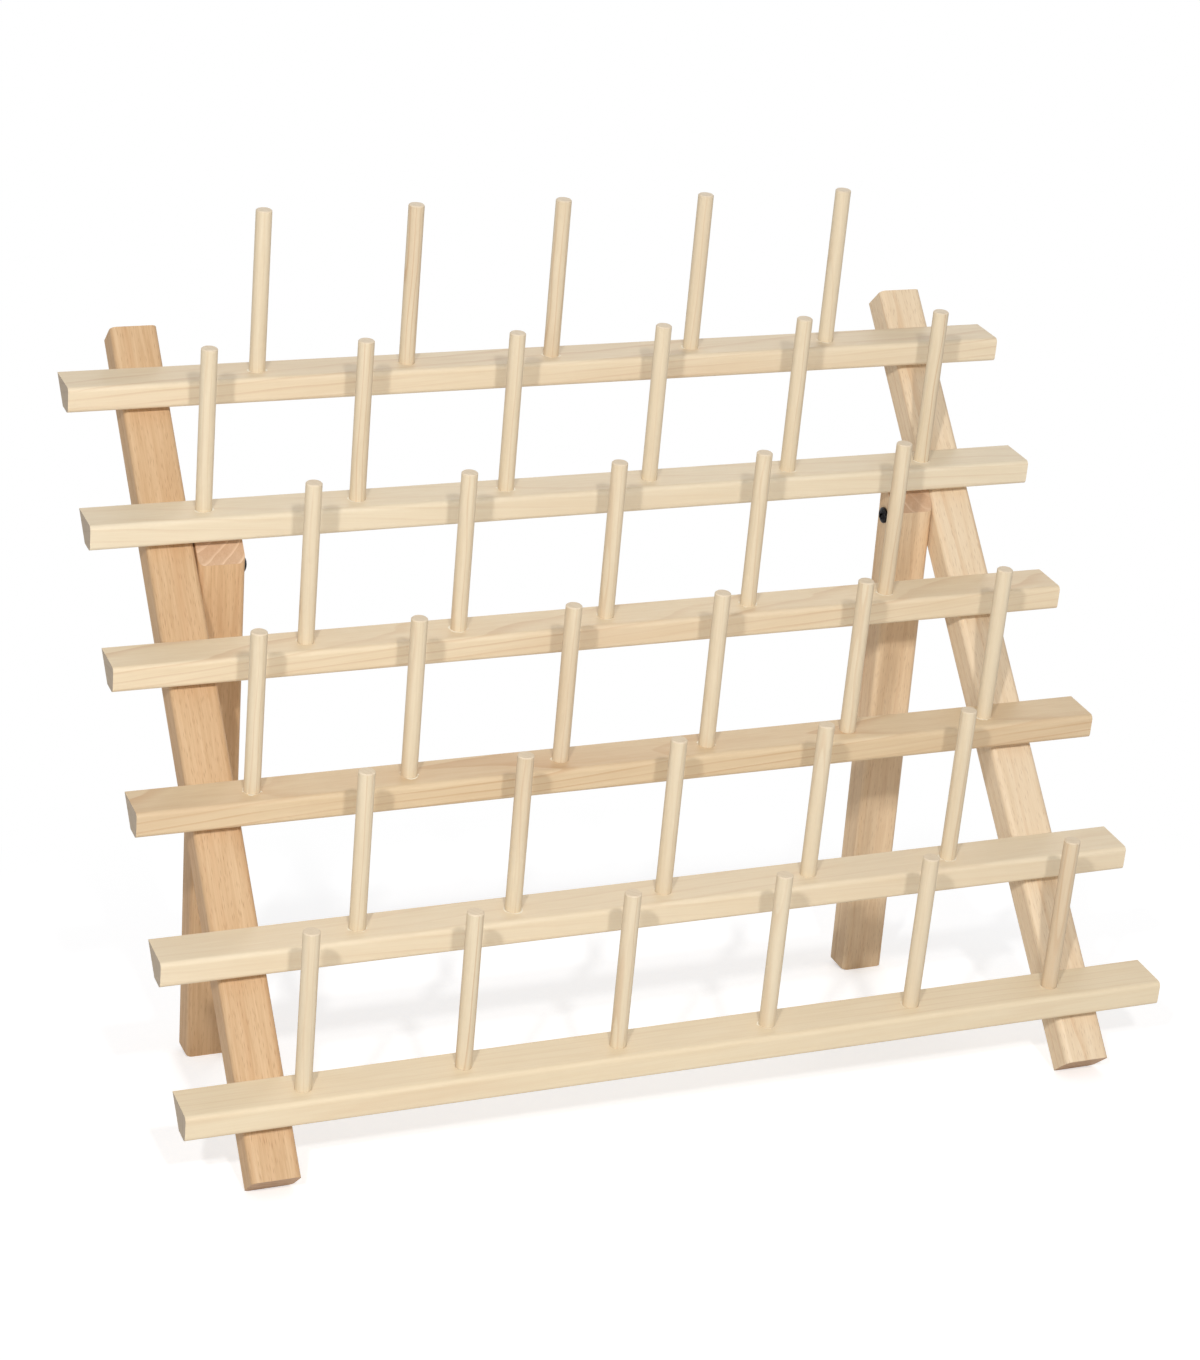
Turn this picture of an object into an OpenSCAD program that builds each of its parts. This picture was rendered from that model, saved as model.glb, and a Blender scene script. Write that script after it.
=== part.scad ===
// Cone thread rack: six bevel-backed rails of upright pegs on two leaning
// uprights, propped by two rear legs that fold in between the uprights.
//
// X runs along the rails, +Y to the back and +Z up. The origin is on the
// floor, under the middle of the rack's box.
//
// Most of the rack is drawn in the panel frame: X as above, Z up along the
// uprights from their lower ends, and -Y square out of the panel's front.
// The backs of the rails and the fronts of the uprights meet at Y = 0 there.

/* [Rails] */
// Length of each rail
rail_len = 495; // [470:1:600]
// Width of a rail's top face, from its back edge to its front edge
rail_top_w = 22.8; // [20:0.2:30]
// Thickness of a rail, along the pegs
rail_t = 12.7; // [10:0.1:15]
// Rounding of a rail's two front edges
rail_edge_r = 2.3; // [1:0.1:4]
// Distance from one rail to the next, along the uprights
rail_pitch = 69.9; // [55:0.1:85]
// Height of the lowest rail's top back edge above the uprights' lower ends
first_rail_h = 46; // [38:0.5:60]

/* [Pegs] */
// Diameter of a peg
peg_d = 7.9; // [6:0.1:9.5]
// Free length of a peg above its rail
peg_free = 81; // [50:0.5:110]
// Depth of a peg's blind hole
peg_seat = 6.5; // [3:0.5:7]
// Distance between neighbouring pegs on a rail
peg_pitch = 76.2; // [60:0.1:82]
// Angle between the pegs and the uprights
peg_angle = 44.5; // [38:0.5:50]
// Chamfer round a peg's tip
peg_chamfer = 0.5; // [0.2:0.1:1]
// Gap for glue round a peg in its hole
glue_gap = 0.05; // [0.02:0.01:0.1]
// Taper of a peg's foot, on its radius, that lets it start into its hole
foot_taper = 0.2; // [0.1:0.05:0.5]

/* [Uprights and legs] */
// Width of the uprights and the legs, along the rails
bar_w = 23.1; // [19:0.1:28]
// Thickness of the uprights and the legs, front to back
bar_t = 18.2; // [16:0.1:24]
// Rounding along the edges of the uprights and the legs
bar_edge_r = 3; // [1:0.1:4]
// Length of an upright
upright_len = 417.5; // [410:0.5:520]
// Distance from the last peg of a full row out to the middle of an upright
upright_past_peg = 16.5; // [12:0.5:22]
// Length of a leg's front face
leg_len = 265.5; // [220:0.5:275]
// Angle between a leg and the uprights when the rack stands
leg_open_angle = 42; // [38:0.5:46]
// Distance of the pivots below the top back edge of the rail that stops the legs
pivot_drop = 30.2; // [27:0.1:34]
// Gap left between a leg and its upright
leg_side_gap = 0.4; // [0.3:0.1:1]
// Gap left between an open leg's mitred end and the rail that stops it
leg_stop_gap = 0.3; // [0.3:0.1:1]
// Gap left between a folded leg and the backs of the rails
leg_fold_gap = 0.5; // [0.3:0.1:1.5]

/* [Pivot screws] */
// Shank diameter of a pivot screw
pivot_d = 4.2; // [3.5:0.1:5]
// Depth that a pivot screw bites into its upright
pivot_bite = 14; // [10:0.5:18]
// Head diameter of a pivot screw
pivot_head_d = 8.2; // [7:0.1:9]
// Head height of a pivot screw
pivot_head_h = 2.4; // [2:0.1:3]
// Radial gap between a pivot screw and the leg that turns on it
pivot_run_gap = 0.05; // [0.02:0.01:0.1]
// Gap left between a pivot screw's head and its leg
pivot_head_gap = 0.3; // [0.3:0.1:0.6]

/* [Rail screws] */
// Shank diameter of a rail screw
screw_d = 3.5; // [3:0.1:4]
// Depth that a rail screw bites into its rail
screw_bite = 9.8; // [6:0.1:10]
// Head diameter of a rail screw
screw_head_d = 7; // [6:0.1:8]
// Height of a rail screw above the lower back edge of its rail
screw_lift = 5.2; // [4.5:0.1:6]
// Gap round a screw in its hole
screw_gap = 0.05; // [0.02:0.01:0.1]

/* [Hidden] */
rails = 6;
// Rows of five and six pegs take turns, from the top rail down
function pegs_on(row) = (row % 2 == 1) ? 5 : 6;
PEG_NODES = [for (row = [1:rails], col = [1:pegs_on(row)]) str("peg_", row, "_", col)];

$fn = 64;
past = 1;
// Shares of a screw head's width and height taken by its recess and its crown
recess_share = 0.55;
crown_share = 0.6;
birch = [0.92, 0.86, 0.72];
beech = [0.87, 0.71, 0.53];
black_steel = [0.08, 0.08, 0.09];

// A rail's section, with its top back edge at the origin. Here x runs square
// out of the panel's front and y up along the uprights.
peg_dir = [sin(peg_angle), cos(peg_angle)];
top_dir = [cos(peg_angle), -sin(peg_angle)];
rail_back_h = rail_t / cos(peg_angle);
top_front = rail_top_w * top_dir;
bottom_front = top_front - rail_t * peg_dir;
bottom_back = [0, -rail_back_h];
function rail_h(row) = first_rail_h + rail_pitch * (rails - row);
function peg_x(row, col) = (col - (pegs_on(row) + 1) / 2) * peg_pitch;
peg_foot = rail_top_w / 2 * top_dir;

// The pivots' place in the panel frame, below the rail that stops the legs
stop_rail = 2;
pivot_y = bar_t / 2 + leg_fold_gap;
pivot_h = rail_h(stop_rail) - pivot_drop;
upright_x = peg_x(stop_rail, pegs_on(stop_rail)) + upright_past_peg;
leg_x = upright_x - bar_w - leg_side_gap;
pivot_len = pivot_head_gap + bar_w + leg_side_gap + pivot_bite;
screw_len = bar_t + screw_bite;
// The mitre meets a leg's front face this far above the pivot
mitre_rise = (pivot_y - leg_stop_gap - bar_t / 2 * cos(leg_open_angle)) / sin(leg_open_angle);
leg_drop = leg_len - mitre_rise;

// A leg's lower front edge, as distance behind the panel's front and height
// along the uprights. The rack leans until that edge and the lower back edges
// of the uprights stand on one floor.
foot_back = pivot_y - bar_t / 2 * cos(leg_open_angle) + leg_drop * sin(leg_open_angle);
foot_h = pivot_h - bar_t / 2 * sin(leg_open_angle) - leg_drop * cos(leg_open_angle);
lean = atan2(foot_h, foot_back - bar_t);

// Places [Y, Z] in the panel frame that can reach furthest to the front or
// the back, turned into the standing rack's own Y
tip_edge = peg_d / 2 - peg_chamfer;
peg_tip = peg_foot + peg_free * peg_dir;
function stand_y(p) = p[0] * cos(lean) + p[1] * sin(lean);
function section_y(row, p) = stand_y([-p[0], rail_h(row) + p[1]]);
top_round = top_front - rail_edge_r * (top_dir + peg_dir);
bottom_round = bottom_front + rail_edge_r * (peg_dir - top_dir);
front_places = concat(
    [for (row = [1:rails]) section_y(row, peg_tip + tip_edge * top_dir)],
    [for (row = [1:rails]) section_y(row, peg_tip - peg_chamfer * peg_dir + peg_d / 2 * top_dir)],
    [for (row = [1:rails], middle = [top_round, bottom_round]) section_y(row, middle) - rail_edge_r],
    [stand_y([0, 0])]);
back_places = [
    stand_y([bar_t, upright_len]),
    stand_y([foot_back + bar_t * cos(leg_open_angle), foot_h + bar_t * sin(leg_open_angle)])];
mid_y = (min(front_places) + max(back_places)) / 2;
rise = bar_t * sin(lean);

module standing() {
    translate([0, -mid_y, rise]) rotate([-lean, 0, 0]) children();
}

// A bar's outline with rounded corners, middle at the origin
module bar_section() {
    square([bar_w - 2 * bar_edge_r, bar_t], center = true);
    square([bar_w, bar_t - 2 * bar_edge_r], center = true);
    for (sx = [-1, 1], sy = [-1, 1])
        translate([sx * (bar_w / 2 - bar_edge_r), sy * (bar_t / 2 - bar_edge_r)])
            circle(r = bar_edge_r);
}

module rail_section() {
    polygon([
        [0, 0],
        top_front - rail_edge_r * top_dir,
        top_front - rail_edge_r * peg_dir,
        bottom_front + rail_edge_r * peg_dir,
        bottom_front - rail_edge_r * top_dir,
        bottom_back]);
    for (middle = [top_round, bottom_round]) translate(middle) circle(r = rail_edge_r);
}

// Turns a section drawn in x (out of the front) and y (up) into a bar along X
module along_rail(len) {
    rotate([90, 0, 90]) mirror([1, 0, 0])
        translate([0, 0, -len / 2]) linear_extrude(len) children();
}

// Puts a child that points along +Z on a peg's foot, pointing along the peg
module at_peg(row, col) {
    translate([peg_x(row, col), -peg_foot[0], rail_h(row) + peg_foot[1]])
        rotate([peg_angle, 0, 0]) children();
}

// Puts a child that points along -Y at each rail screw's head, side -1 or 1
module at_rail_screw(row, side) {
    translate([side * upright_x, bar_t, rail_h(row) - rail_back_h + screw_lift])
        rotate([90, 0, 0]) children();
}

// A rail screw's outline along +Z from the flat of its head, made wider by gap
module rail_screw_body(gap) {
    head_h = (screw_head_d - screw_d) / 2;
    cylinder(h = head_h, r1 = screw_head_d / 2 + gap, r2 = screw_d / 2 + gap);
    cylinder(h = screw_len - screw_d, r = screw_d / 2 + gap);
    translate([0, 0, screw_len - screw_d])
        cylinder(h = screw_d, r1 = screw_d / 2 + gap, r2 = screw_d / 8 + gap);
}

module cross_recess(across, depth) {
    slot = across / 4;
    for (turn = [0, 90])
        rotate([0, 0, turn]) translate([-across / 2, -slot / 2, -past])
            cube([across, slot, depth + past]);
}

module rail(row) {
    color(birch) standing() difference() {
        translate([0, 0, rail_h(row)]) along_rail(rail_len) rail_section();
        for (col = [1:pegs_on(row)])
            at_peg(row, col) translate([0, 0, -peg_seat])
                cylinder(h = peg_seat + past, r = peg_d / 2 + glue_gap);
        for (side = [-1, 1]) at_rail_screw(row, side) rail_screw_body(screw_gap);
    }
}

module peg(row, col) {
    straight = peg_free - peg_chamfer;
    color(birch) standing() at_peg(row, col) {
        translate([0, 0, -peg_seat])
            cylinder(h = peg_seat, r1 = peg_d / 2 - foot_taper, r2 = peg_d / 2);
        cylinder(h = straight, r = peg_d / 2);
        translate([0, 0, straight])
            cylinder(h = peg_chamfer, r1 = peg_d / 2, r2 = tip_edge);
    }
}

module upright(side) {
    color(beech) standing() difference() {
        translate([side * upright_x, bar_t / 2, 0]) linear_extrude(upright_len) bar_section();
        for (row = [1:rails]) {
            at_rail_screw(row, side) rail_screw_body(screw_gap);
            at_rail_screw(row, side) translate([0, 0, -past])
                cylinder(h = past, r = screw_head_d / 2 + screw_gap);
        }
        at_pivot(side) translate([0, 0, -past])
            cylinder(h = pivot_bite + past, r = pivot_d / 2 + screw_gap);
    }
}

// Puts a child that points along +Z on the pivot, pointing outwards from the
// upright's inner face
module at_pivot(side) {
    translate([side * (upright_x - bar_w / 2), pivot_y, pivot_h])
        rotate([0, side * 90, 0]) children();
}

module leg(side) {
    color(beech) standing()
        translate([side * leg_x, pivot_y, pivot_h]) difference() {
            rotate([leg_open_angle, 0, 0])
                translate([0, 0, -leg_drop]) linear_extrude(leg_len + 2 * bar_t) bar_section();
            // The mitre, parallel to the panel when the leg is open
            translate([-bar_w, leg_stop_gap - pivot_y - 4 * bar_t, -bar_t])
                cube([2 * bar_w, 4 * bar_t, 6 * bar_t]);
            rotate([0, 90, 0]) cylinder(h = bar_w + 2 * past, center = true,
                r = pivot_d / 2 + pivot_run_gap);
        }
}

module pivot_screw(side) {
    color(black_steel) standing() at_pivot(side)
        translate([0, 0, pivot_bite - pivot_len]) {
            cylinder(h = pivot_len - pivot_d, r = pivot_d / 2);
            translate([0, 0, pivot_len - pivot_d])
                cylinder(h = pivot_d, r1 = pivot_d / 2, r2 = pivot_d / 8);
            translate([0, 0, -pivot_head_h]) difference() {
                pan_head();
                cross_recess(recess_share * pivot_head_d, crown_share * pivot_head_h);
            }
        }
}

// A domed screw head along +Z, its crown at the origin
module pan_head() {
    r = pivot_head_d / 2;
    crown_h = crown_share * pivot_head_h;
    dome_r = (r * r + crown_h * crown_h) / (2 * crown_h);
    translate([0, 0, crown_h]) cylinder(h = pivot_head_h - crown_h, r = r);
    intersection() {
        translate([0, 0, dome_r]) sphere(r = dome_r);
        cylinder(h = crown_h, r = r);
    }
}

module rail_screws() {
    color(black_steel) standing()
        for (row = [1:rails], side = [-1, 1])
            at_rail_screw(row, side) difference() {
                rail_screw_body(0);
                cross_recess(recess_share * screw_head_d, (screw_head_d - screw_d) / 3);
            }
}

upright(-1);  // left_upright
upright(1);  // right_upright
leg(-1);  // left_leg
leg(1);  // right_leg
pivot_screw(-1);  // left_pivot_screw
pivot_screw(1);  // right_pivot_screw
rail_screws();
for (row = [1:rails])
    rail(row);
for (row = [1:rails], col = [1:pegs_on(row)])
    peg(row, col);
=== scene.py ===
import math

import bpy
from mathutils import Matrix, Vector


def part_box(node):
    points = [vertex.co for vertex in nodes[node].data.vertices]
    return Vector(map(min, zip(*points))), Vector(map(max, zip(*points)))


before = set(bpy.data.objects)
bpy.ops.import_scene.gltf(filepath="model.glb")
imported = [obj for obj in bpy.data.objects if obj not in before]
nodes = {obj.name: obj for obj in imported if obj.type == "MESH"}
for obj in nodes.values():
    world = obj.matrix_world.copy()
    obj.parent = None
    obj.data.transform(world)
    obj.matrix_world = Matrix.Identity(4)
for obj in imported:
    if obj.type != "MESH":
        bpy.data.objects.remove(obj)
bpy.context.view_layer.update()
scene = bpy.context.scene
print("rack loaded,", len(nodes), "nodes")

# Camera, at the photograph's viewing angle
viewpoint = {
    "place": (-0.58043, -1.4226, 0.54193),  # metres
    "turn": (78.3931, 0.262, -22.0024),  # degrees
    "lens": 85.541,  # mm
    "longSide": 36,  # mm, of the image behind that lens
    "shiftUp": -0.0441,  # share of the long side
    "nearest": 0.05,  # metres
}
cameraData = bpy.data.cameras.new("rackCamera")
cameraData.lens = viewpoint["lens"]
cameraData.sensor_width = viewpoint["longSide"]
cameraData.shift_y = viewpoint["shiftUp"]
cameraData.clip_start = viewpoint["nearest"]
camera = bpy.data.objects.new("rackCamera", cameraData)
camera.location = viewpoint["place"]
camera.rotation_euler = [math.radians(angle) for angle in viewpoint["turn"]]
scene.collection.objects.link(camera)
scene.camera = camera
scene.view_settings.view_transform = "Standard"
print("camera set")

# Studio lights: two near the camera that cast the pegs' double shadows, and a broad one behind
softBoxes = {
    "leftBox": {"place": (-0.92, -1.58, 1.0), "size": 0.08, "watts": 12.5},
    "rightBox": {"place": (-0.42, -1.78, 1.0), "size": 0.08, "watts": 12.5},
    "rearBox": {"place": (0.9, 1.9, 1.1), "size": 1.4, "watts": 12},
}
aimPoint = (0, 0, 0.2)  # what all of them face


def makeSoftBox(name, look):
    data = bpy.data.lights.new(name, "AREA")
    data.shape = "DISK"
    data.size = look["size"]
    data.energy = look["watts"]
    box = bpy.data.objects.new(name, data)
    box.location = look["place"]
    toAim = [a - b for a, b in zip(aimPoint, look["place"])]
    flat = math.hypot(toAim[0], toAim[1])
    box.rotation_euler = (math.atan2(flat, -toAim[2]), 0, math.atan2(-toAim[0], toAim[1]))
    scene.collection.objects.link(box)


for name, look in softBoxes.items():
    makeSoftBox(name, look)
print("lights set")


# Node helpers
def paint(red, green, blue):
    # Screen values from 0 to 255 turned into the linear ones that sockets take
    channels = [value / 255 for value in (red, green, blue)]
    return (*(c / 12.92 if c <= 0.04045 else ((c + 0.055) / 1.055) ** 2.4 for c in channels), 1)


def addNode(tree, kind, inputs=None, **settings):
    node = tree.nodes.new(kind)
    for key, value in settings.items():
        setattr(node, key, value)
    for key, value in (inputs or {}).items():
        if isinstance(value, bpy.types.NodeSocket):
            tree.links.new(value, node.inputs[key])
        else:
            node.inputs[key].default_value = value
    return node


def mathNode(tree, operation, first, second=0.0, third=0.0):
    node = addNode(tree, "ShaderNodeMath", {0: first, 1: second, 2: third}, operation=operation)
    return node.outputs[0]


def product(tree, result, *factors):
    for factor in factors:
        result = mathNode(tree, "MULTIPLY", result, factor)
    return result


def vectorNode(tree, operation, first, second=(0, 0, 0)):
    node = addNode(tree, "ShaderNodeVectorMath", {0: first, 1: second}, operation=operation)
    return node.outputs["Value" if operation == "LENGTH" else "Vector"]


def joinNode(tree, x, y, z):
    return addNode(tree, "ShaderNodeCombineXYZ", {0: x, 1: y, 2: z}).outputs[0]


def splitNode(tree, vector):
    return addNode(tree, "ShaderNodeSeparateXYZ", {0: vector}).outputs


def mixColour(tree, share, first, second, blend="MIX"):
    node = addNode(tree, "ShaderNodeMix", {
        0: share, 6: first, 7: second}, data_type="RGBA", blend_type=blend)
    return node.outputs[2]


def rangeNode(tree, value, limits, results=(0.0, 1.0)):
    node = addNode(tree, "ShaderNodeMapRange", {
        "Value": value, "From Min": limits[0], "From Max": limits[1],
        "To Min": results[0], "To Max": results[1],
    }, interpolation_type="SMOOTHSTEP")
    return node.outputs["Result"]


def scaledNoise(tree, vector, stretch, detail=2.0, roughness=0.5):
    noise = addNode(tree, "ShaderNodeTexNoise", {
        "Vector": vectorNode(tree, "MULTIPLY", vector, stretch),
        "Scale": 1.0, "Detail": detail, "Roughness": roughness,
    })
    return noise.outputs["Fac"]


def newGroup(name, inputs, outputs):
    # Inputs are name, kind and starting value, outputs name and kind
    tree = bpy.data.node_groups.new(name, "ShaderNodeTree")
    for socketName, kind, value in inputs:
        socket = tree.interface.new_socket(socketName, in_out="INPUT", socket_type="NodeSocket" + kind)
        if value is not None:
            socket.default_value = value
    for socketName, kind in outputs:
        tree.interface.new_socket(socketName, in_out="OUTPUT", socket_type="NodeSocket" + kind)
    return tree, tree.nodes.new("NodeGroupInput").outputs, tree.nodes.new("NodeGroupOutput")


def sendOut(tree, out, values):
    for key, value in values.items():
        tree.links.new(value, out.inputs[key])


def placeGroup(tree, group, inputs):
    return addNode(tree, "ShaderNodeGroup", inputs, node_tree=group).outputs


def seededPlace(tree, given):
    # Moves each piece to its own stretch of the noise
    seed = given["Seed"]
    return vectorNode(tree, "ADD", given["Grain Place"], joinNode(tree, seed, seed, seed))


# Growth lines, fibres and warm patches. Grain coordinates are in metres, with the grain along Z,
# and a stretch is how many waves of noise a metre holds on each axis.
grainPattern = {
    "waverStretch": (26, 26, 5), "waverDetail": 3.0,
    "waverDepth": 0.012,  # metres that a growth line strays
    "lineRise": (0.7, 0.95), "lineFall": (0.96, 1.0),  # a growth line's sides, in ring widths
    "linePatchStretch": (40, 40, 9), "linePatchLimits": (0.35, 0.65), "linePatchShares": (0.35, 1.0),
    "fibreStretch": (1500, 1500, 45), "fibreDetail": 3.0, "fibreRoughness": 0.6,
    "silkStretch": (330, 330, 16),
    "streakLimits": (0.3, 0.75), "streakShare": 0.7,
    "warmStretch": (34, 34, 4.5), "warmLimits": (0.48, 0.75),
    "lineHeight": 0.4,  # beside 1 for the fibres
    "sheenLimits": (0.2, 0.8), "roughness": (0.52, 0.66),
}


def makeGrainGroup():
    look = grainPattern
    tree, given, out = newGroup("woodGrain", [
        ("Grain Place", "Vector", None),
        ("Pale", "Color", paint(240, 224, 195)),
        ("Dark", "Color", paint(222, 198, 160)),
        ("Warm", "Color", paint(214, 180, 140)),
        ("Pith X", "Float", 0.05), ("Pith Y", "Float", 0.08), ("Ring Width", "Float", 0.003),
        ("Ring Strength", "Float", 0.4), ("Fibre Strength", "Float", 0.3), ("Warm Share", "Float", 0.2),
        ("Seed", "Float", 0.0),
    ], [("Color", "Color"), ("Height", "Float"), ("Roughness", "Float")])
    place = seededPlace(tree, given)
    # Growth lines lie round a pith outside the stock and waver along the grain
    pith = joinNode(tree, given["Pith X"], given["Pith Y"], 0.0)
    fromPith = vectorNode(tree, "SUBTRACT", given["Grain Place"], pith)
    distance = vectorNode(tree, "LENGTH", vectorNode(tree, "MULTIPLY", fromPith, (1, 1, 0)))
    waver = scaledNoise(tree, place, look["waverStretch"], look["waverDetail"])
    wavered = mathNode(tree, "ADD", distance, product(tree, waver, look["waverDepth"]))
    withinRing = mathNode(tree, "FRACT", mathNode(tree, "DIVIDE", wavered, given["Ring Width"]))
    rise = rangeNode(tree, withinRing, look["lineRise"])
    line = product(tree, rise, rangeNode(tree, withinRing, look["lineFall"], (1.0, 0.0)))
    patches = scaledNoise(tree, place, look["linePatchStretch"])
    patchShare = rangeNode(tree, patches, look["linePatchLimits"], look["linePatchShares"])
    lineShare = product(tree, line, patchShare, given["Ring Strength"])
    # Fine fibres and broader silky streaks
    fibre = scaledNoise(tree, place, look["fibreStretch"], look["fibreDetail"], look["fibreRoughness"])
    silk = scaledNoise(tree, place, look["silkStretch"])
    fibreShare, silkShare = (
        product(tree, rangeNode(tree, streak, look["streakLimits"]), given["Fibre Strength"])
        for streak in (fibre, silk))
    darkShare = product(tree, mathNode(tree, "ADD", fibreShare, silkShare), look["streakShare"])
    darkShare = addNode(tree, "ShaderNodeClamp", {0: darkShare}).outputs[0]
    warmPatch = rangeNode(tree, scaledNoise(tree, place, look["warmStretch"]), look["warmLimits"])
    warmShare = product(tree, warmPatch, given["Warm Share"])
    woodColour = mixColour(tree, darkShare, given["Pale"], given["Dark"])
    woodColour = mixColour(tree, warmShare, woodColour, given["Warm"])
    woodColour = mixColour(tree, lineShare, woodColour, given["Warm"])
    sendOut(tree, out, {
        "Color": woodColour,
        "Height": mathNode(tree, "ADD", fibre, product(tree, line, look["lineHeight"])),
        "Roughness": rangeNode(tree, fibre, look["sheenLimits"], look["roughness"]),
    })
    return tree


# Short dark pores that lie along the grain, as beech has: one in each long cell of a Voronoi pattern
porePattern = {
    "shareOfCell": 0.16,  # a pore's width in its cell's width
    "slimness": 0.09,  # a cell's width in its length
    "edge": (0.04, 0.34),  # from a pore's core out to clear wood
}


def makePoreGroup():
    look = porePattern
    tree, given, out = newGroup("beechPores", [
        ("Grain Place", "Vector", None), ("Pore Width", "Float", 0.0001), ("Seed", "Float", 0.0),
    ], [("Mask", "Float")])
    across = mathNode(tree, "DIVIDE", look["shareOfCell"], given["Pore Width"])
    stretch = joinNode(tree, across, across, product(tree, across, look["slimness"]))
    cells = addNode(tree, "ShaderNodeTexVoronoi", {
        "Vector": vectorNode(tree, "MULTIPLY", seededPlace(tree, given), stretch), "Scale": 1.0,
    })
    sendOut(tree, out, {"Mask": rangeNode(tree, cells.outputs["Distance"], look["edge"], (1.0, 0.0))})
    return tree


endLimits = (0.45, 0.62)  # a normal's length along the grain, on a side and on an end


def makeEndGroup():
    # 1 where the surface cuts across the grain
    tree, given, out = newGroup("endGrain", [("Grain Normal", "Vector", None)], [("Mask", "Float")])
    along = mathNode(tree, "ABSOLUTE", splitNode(tree, given["Grain Normal"])[2])
    sendOut(tree, out, {"Mask": rangeNode(tree, along, endLimits)})
    return tree


# A thin uneven ring of dried glue round each peg's foot, on the rail's top face. Lengths in metres.
glueRing = {
    "pegRadius": 0.00395, "width": 0.0006,
    "reach": 0.2,  # no peg stands further from the rail's middle
    "topDepth": 0.0006,  # counts as the top face
    "softEdge": 0.00015,
    "unevenStretch": (260, 260, 260), "unevenLimits": (0.4, 0.65), "unevenWidths": (0.2, 1.8),
    "patchStretch": (19, 60, 60), "patchDetail": 1.0, "patchLimits": (0.42, 0.56),
}


def makeGlueGroup():
    look = glueRing
    tree, given, out = newGroup("glueRing", [
        ("Rail Place", "Vector", None), ("Shift", "Float", 0.0), ("Pitch", "Float", 0.0762),
        ("Across", "Float", 0.0), ("Top", "Float", 0.0), ("Peg Radius", "Float", look["pegRadius"]),
        ("Width", "Float", look["width"]), ("Reach", "Float", look["reach"]),
    ], [("Mask", "Float")])
    railX, railY, railZ = splitNode(tree, given["Rail Place"])
    # The distance to the nearest peg's middle, across the top face
    high, low = (product(tree, given["Pitch"], half) for half in (0.5, -0.5))
    toPegX = mathNode(tree, "WRAP", mathNode(tree, "SUBTRACT", railX, given["Shift"]), high, low)
    toPegY = mathNode(tree, "SUBTRACT", railY, given["Across"])
    distance = vectorNode(tree, "LENGTH", joinNode(tree, toPegX, toPegY, 0.0))
    uneven = scaledNoise(tree, given["Rail Place"], look["unevenStretch"])
    widthShare = rangeNode(tree, uneven, look["unevenLimits"], look["unevenWidths"])
    width = product(tree, given["Width"], widthShare)
    pastEdge = mathNode(tree, "SUBTRACT", distance, mathNode(tree, "ADD", given["Peg Radius"], width))
    inside = rangeNode(tree, pastEdge, (-look["softEdge"], look["softEdge"]), (1.0, 0.0))
    patches = scaledNoise(tree, given["Rail Place"], look["patchStretch"], look["patchDetail"])
    patch = rangeNode(tree, patches, look["patchLimits"])
    withinReach = mathNode(tree, "LESS_THAN", mathNode(tree, "ABSOLUTE", railX), given["Reach"])
    depth = mathNode(tree, "ABSOLUTE", mathNode(tree, "SUBTRACT", railZ, given["Top"]))
    onTop = mathNode(tree, "LESS_THAN", depth, look["topDepth"])
    sendOut(tree, out, {"Mask": product(tree, inside, product(tree, patch, withinReach), onTop)})
    return tree


grainGroup = makeGrainGroup()
poreGroup = makePoreGroup()
endGroup = makeEndGroup()
glueGroup = makeGlueGroup()
print("effects built")

# How the pieces lie, in degrees about X
layout = {
    "uprightLean": 30.6918,
    "legLean": -11.3082,
    "pegTilt": -13.8082,
}
woodFinish = {
    "bumpDistance": 0.0001,  # metres
    "specular": 0.35,
}


def turnSpace(tree, place, normal, angles):
    turned = []
    for socket, kind in ((place, "POINT"), (normal, "VECTOR")):
        mapping = addNode(tree, "ShaderNodeMapping", {
            "Vector": socket, "Rotation": [math.radians(angle) for angle in angles]}, vector_type=kind)
        turned.append(mapping.outputs[0])
    return turned


def pieceSpace(tree, tilt):
    # Object coordinates and normals, turned so that a leaning piece stands upright
    source = addNode(tree, "ShaderNodeTexCoord").outputs
    return turnSpace(tree, source["Object"], source["Normal"], (tilt, 0, 0))


def newMaterial(name):
    material = bpy.data.materials.new(name)
    material.use_nodes = True
    tree = material.node_tree
    return material, tree, tree.nodes["Principled BSDF"]


def placeGrain(tree, place, look, face):
    # The piece's own pith, rings and seed, with the tones of one of its faces
    return placeGroup(tree, grainGroup, {
        "Grain Place": place, "Pith X": look["pith"][0], "Pith Y": look["pith"][1],
        "Ring Width": look["ringWidth"], "Seed": look["seed"],
        "Pale": paint(*face["pale"]), "Dark": paint(*face["dark"]), "Warm": paint(*face["warm"]),
        "Ring Strength": face["ring"], "Fibre Strength": face["fibre"], "Warm Share": face["warmShare"],
    })


def addEnds(tree, place, normal, look, colour):
    ends = placeGrain(tree, place, look, look["ends"])
    endMask = placeGroup(tree, endGroup, {"Grain Normal": normal})["Mask"]
    return mixColour(tree, endMask, colour, ends["Color"])


def finishWood(tree, shader, look, colour, height, roughness):
    bump = addNode(tree, "ShaderNodeBump", {
        "Height": height, "Strength": look["bump"], "Distance": woodFinish["bumpDistance"]})
    tree.links.new(colour, shader.inputs["Base Color"])
    tree.links.new(roughness, shader.inputs["Roughness"])
    tree.links.new(bump.outputs["Normal"], shader.inputs["Normal"])
    shader.inputs["Specular IOR Level"].default_value = woodFinish["specular"]


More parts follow.
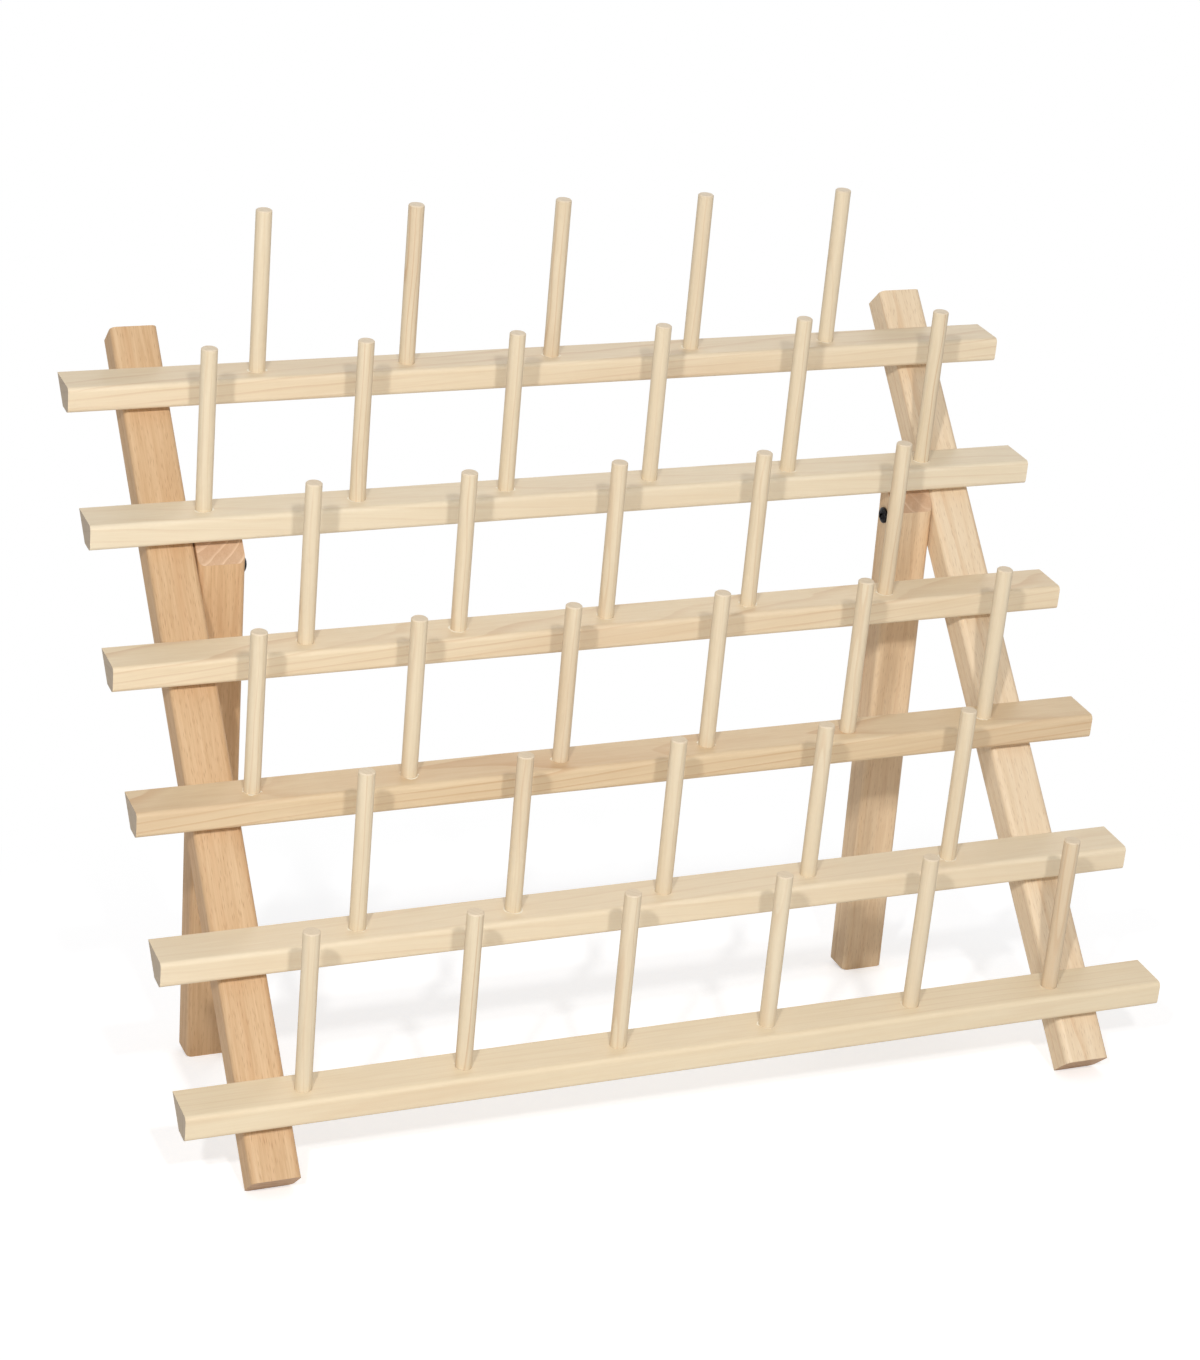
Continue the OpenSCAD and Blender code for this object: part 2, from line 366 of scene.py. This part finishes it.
# Rails, numbered from the top down: one pale hardwood, with each strip's own grain and tint
railWood = {
    "pale": (235, 220, 194), "dark": (222, 200, 168), "warm": (204, 168, 132),
    "ends": {
        "pale": (192, 175, 152), "dark": (172, 153, 130), "warm": (172, 153, 130),
        "ring": 0.5, "fibre": 0.08, "warmShare": 0.2},
    "glue": (244, 235, 214), "ringWidth": 0.0046, "bump": 0.2,
}
# A slope is how many degrees the grain runs off the rail's length
railTones = {
    1: {
        "slope": 2.4, "ring": 0.34, "fibre": 0.35, "warmShare": 0.22,
        "pith": (0.03, 0.05), "tint": (255, 252, 246), "seed": 1.7},
    2: {
        "slope": -2.8, "ring": 0.2, "fibre": 0.3, "warmShare": 0.1,
        "pith": (0.06, -0.03), "tint": (255, 255, 252), "seed": 4.1},
    3: {
        "slope": 3.6, "ring": 0.42, "fibre": 0.35, "warmShare": 0.3,
        "pith": (-0.02, 0.02), "tint": (255, 251, 243), "seed": 7.3},
    4: {
        "slope": 2.9, "ring": 0.5, "fibre": 0.4, "warmShare": 0.4,
        "pith": (0.02, 0.03), "tint": (244, 234, 219), "seed": 9.9},
    5: {
        "slope": -1.9, "ring": 0.18, "fibre": 0.3, "warmShare": 0.15,
        "pith": (0.05, 0.06), "tint": (255, 253, 248), "seed": 12.4},
    6: {
        "slope": 1.4, "ring": 0.2, "fibre": 0.3, "warmShare": 0.12,
        "pith": (-0.05, 0.04), "tint": (254, 251, 243), "seed": 15.2},
}
pegPitch = 0.0762  # metres
pegBelowMiddle = 0.03725  # from a peg's middle down to the rail's top face


def pegFoot(row):
    # Where a row's pegs meet the rail, in the coordinates that pieceSpace gives
    low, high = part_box(f"peg_{row}_1")
    y, z = ((low[axis] + high[axis]) / 2 for axis in (1, 2))
    tilt = math.radians(layout["pegTilt"])
    return y * math.cos(tilt) - z * math.sin(tilt), y * math.sin(tilt) + z * math.cos(tilt) - pegBelowMiddle


def makeRailMaterial(row, tone):
    look = {**railWood, **tone}
    material, tree, shader = newMaterial(f"railWood{row}")
    railPlace, railNormal = pieceSpace(tree, layout["pegTilt"])
    place, normal = turnSpace(tree, railPlace, railNormal, (look["slope"] / 2, look["slope"] - 90, 0))
    grain = placeGrain(tree, place, look, look)
    colour = mixColour(tree, 1.0, grain["Color"], paint(*look["tint"]), "MULTIPLY")
    colour = addEnds(tree, place, normal, look, colour)
    across, top = pegFoot(row)
    shift = pegPitch / 2 if row % 2 == 0 else 0.0  # even rows have six pegs and none in the middle
    glue = placeGroup(tree, glueGroup, {
        "Rail Place": railPlace, "Shift": shift, "Pitch": pegPitch, "Across": across, "Top": top})["Mask"]
    colour = mixColour(tree, glue, colour, paint(*look["glue"]))
    finishWood(tree, shader, look, colour, grain["Height"], grain["Roughness"])
    return material


# Pegs: dowel of four tones
pegWood = {
    "pale": (229, 213, 184), "dark": (213, 192, 158), "warm": (200, 164, 126),
    "ends": {
        "pale": (232, 215, 188), "dark": (210, 187, 156), "warm": (210, 187, 156),
        "ring": 0.4, "fibre": 0.25, "warmShare": 0.2},
    "pith": (0.3, 0.21), "ringWidth": 0.0025, "bump": 0.25,
}
pegTones = {
    "plain": {"ring": 0.35, "fibre": 0.4, "warmShare": 0.12, "seed": 2.2},
    "warm": {"ring": 0.5, "fibre": 0.5, "warmShare": 0.35, "seed": 5.6},
    "streaked": {"ring": 0.7, "fibre": 0.5, "warmShare": 0.6, "seed": 8.8},
    "pale": {"ring": 0.25, "fibre": 0.3, "warmShare": 0.05, "seed": 11.1},
}
pegKinds = {  # the rest are plain
    "warm": ["peg_1_3", "peg_2_2", "peg_3_4", "peg_4_1", "peg_5_2", "peg_6_6", "peg_3_5"],
    "streaked": ["peg_4_3", "peg_6_2", "peg_1_2", "peg_2_6"],
    "pale": ["peg_2_4", "peg_3_1", "peg_5_4", "peg_6_4", "peg_1_5", "peg_4_6"],
}


def makePegMaterial(kind, tone):
    look = {**pegWood, **tone}
    material, tree, shader = newMaterial(f"pegWood{kind.capitalize()}")
    place, normal = pieceSpace(tree, layout["pegTilt"])
    grain = placeGrain(tree, place, look, look)
    colour = addEnds(tree, place, normal, look, grain["Color"])
    finishWood(tree, shader, look, colour, grain["Height"], grain["Roughness"])
    return material


# Uprights and legs, beech
beechWood = {
    "ends": {
        "pale": (198, 160, 126), "dark": (228, 198, 165), "warm": (228, 198, 165),
        "ring": 0.9, "fibre": 0.3, "warmShare": 0.2},
    "poreColour": (160, 116, 78),
    "poreWidth": 0.0001,  # metres
    "poreDepth": 0.6,  # beside 1 for the fibres' height
    "ringWidth": 0.005, "bump": 0.3,
}
beechTones = {
    "left_upright": {
        "lean": "uprightLean", "pale": (217, 184, 144), "dark": (196, 158, 116), "warm": (200, 157, 114),
        "ring": 0.4, "fibre": 0.7, "warmShare": 0.35, "pores": 0.6, "seed": 3.3, "pith": (-0.26, 0.03)},
    "right_upright": {
        "lean": "uprightLean", "pale": (238, 217, 186), "dark": (220, 192, 155), "warm": (214, 178, 138),
        "ring": 0.5, "fibre": 0.5, "warmShare": 0.25, "pores": 0.42, "seed": 6.4, "pith": (0.26, 0.05)},
    "left_leg": {
        "lean": "legLean", "pale": (222, 186, 144), "dark": (200, 160, 117), "warm": (196, 152, 110),
        "ring": 0.4, "fibre": 0.7, "warmShare": 0.35, "pores": 0.5, "seed": 9.1, "pith": (-0.2, 0.12)},
    "right_leg": {
        "lean": "legLean", "pale": (236, 209, 173), "dark": (216, 182, 142), "warm": (208, 168, 126),
        "ring": 0.5, "fibre": 0.55, "warmShare": 0.3, "pores": 0.4, "seed": 13.7, "pith": (0.2, 0.12)},
}


def makeBeechMaterial(node, tone):
    look = {**beechWood, **tone}
    material, tree, shader = newMaterial(f"beech_{node}")
    place, normal = pieceSpace(tree, layout[look["lean"]])
    grain = placeGrain(tree, place, look, look)
    pores = placeGroup(tree, poreGroup, {
        "Grain Place": place, "Pore Width": look["poreWidth"], "Seed": look["seed"]})["Mask"]
    poreShare = product(tree, pores, look["pores"])
    colour = mixColour(tree, poreShare, grain["Color"], paint(*look["poreColour"]))
    colour = addEnds(tree, place, normal, look, colour)
    height = mathNode(tree, "SUBTRACT", grain["Height"], product(tree, pores, look["poreDepth"]))
    finishWood(tree, shader, look, colour, height, grain["Roughness"])
    return material


# Screws, black oxide with faint lighter specks: partly wear, partly painted glints
screwSteel = {
    "black": (26, 26, 29), "wornAndGlint": (70, 70, 74), "metallic": 0.75,
    "speckStretch": (1400, 1400, 1400), "speckDetail": 3.0, "speckLimits": (0.5, 0.75),
    "sheenLimits": (0.3, 0.7), "roughness": (0.32, 0.5),
}


def makeScrewMaterial():
    look = screwSteel
    material, tree, shader = newMaterial("blackScrew")
    source = addNode(tree, "ShaderNodeTexCoord").outputs
    specks = scaledNoise(tree, source["Object"], look["speckStretch"], look["speckDetail"])
    wornAndGlintShare = rangeNode(tree, specks, look["speckLimits"])
    # Lighter specks, partly wear and partly painted glints standing in for the head's highlights
    colour = mixColour(tree, wornAndGlintShare, paint(*look["black"]), paint(*look["wornAndGlint"]))
    roughness = rangeNode(tree, specks, look["sheenLimits"], look["roughness"])
    tree.links.new(colour, shader.inputs["Base Color"])
    tree.links.new(roughness, shader.inputs["Roughness"])
    shader.inputs["Metallic"].default_value = look["metallic"]
    return material


def dress(node, material):
    slots = nodes[node].data.materials
    if len(slots) == 0:
        slots.append(material)
    for index in range(len(slots)):
        slots[index] = material


for row, tone in railTones.items():
    dress(f"rail_{row}", makeRailMaterial(row, tone))
pegMaterials = {kind: makePegMaterial(kind, tone) for kind, tone in pegTones.items()}
kindOfPeg = {peg: kind for kind, pegs in pegKinds.items() for peg in pegs}
for node in nodes:
    if node.startswith("peg_"):
        dress(node, pegMaterials[kindOfPeg.get(node, "plain")])
for node, tone in beechTones.items():
    dress(node, makeBeechMaterial(node, tone))
screwMaterial = makeScrewMaterial()
for node in ("left_pivot_screw", "right_pivot_screw", "rail_screws"):
    dress(node, screwMaterial)
print("pieces dressed")

# Floor and background
backdrop = {
    "floor": (236, 236, 236), "floorRoughness": 0.9, "floorSpecular": 0,
    "size": 12,  # metres
    "glow": 0.45,  # only for the camera, so that the floor looks nearly white
    "fade": (0.2, 0.55),  # metres from the middle, where the fade to white starts and ends
    "ambient": (252, 252, 255), "ambientStrength": 0.43,
}
plainWhite = {"Color": (1, 1, 1, 1), "Strength": 1.0}


def makeFloor():
    bpy.ops.mesh.primitive_plane_add(size=backdrop["size"], location=(0, 0, 0))
    floor = bpy.context.object
    floor.name = "studioFloor"
    material, tree, shader = newMaterial("studioFloor")
    shader.inputs["Base Color"].default_value = paint(*backdrop["floor"])
    shader.inputs["Roughness"].default_value = backdrop["floorRoughness"]
    shader.inputs["Specular IOR Level"].default_value = backdrop["floorSpecular"]
    # Seen directly, the floor keeps the rack's shadow and fades to white further out
    path = addNode(tree, "ShaderNodeLightPath").outputs
    source = addNode(tree, "ShaderNodeTexCoord").outputs
    fade = rangeNode(tree, vectorNode(tree, "LENGTH", source["Object"]), backdrop["fade"])
    glow = addNode(tree, "ShaderNodeEmission", {**plainWhite, "Strength": backdrop["glow"]})
    white = addNode(tree, "ShaderNodeEmission", plainWhite)
    both = addNode(tree, "ShaderNodeAddShader", {0: shader.outputs[0], 1: glow.outputs[0]})
    faded = addNode(tree, "ShaderNodeMixShader", {0: fade, 1: both.outputs[0], 2: white.outputs[0]})
    chosen = addNode(tree, "ShaderNodeMixShader", {
        0: path["Is Camera Ray"], 1: shader.outputs[0], 2: faded.outputs[0]})
    tree.links.new(chosen.outputs[0], tree.nodes["Material Output"].inputs["Surface"])
    floor.data.materials.append(material)


def makeWorld():
    world = bpy.data.worlds.new("studioWorld")
    world.use_nodes = True
    tree = world.node_tree
    tree.nodes.clear()
    path = addNode(tree, "ShaderNodeLightPath").outputs
    seen = mathNode(tree, "MAXIMUM", path["Is Camera Ray"], path["Is Glossy Ray"])
    ambient = addNode(tree, "ShaderNodeBackground", {
        "Color": paint(*backdrop["ambient"]), "Strength": backdrop["ambientStrength"]})
    white = addNode(tree, "ShaderNodeBackground", plainWhite)
    chosen = addNode(tree, "ShaderNodeMixShader", {0: seen, 1: ambient.outputs[0], 2: white.outputs[0]})
    addNode(tree, "ShaderNodeOutputWorld", {"Surface": chosen.outputs[0]})
    scene.world = world


makeFloor()
makeWorld()
print("stage set")
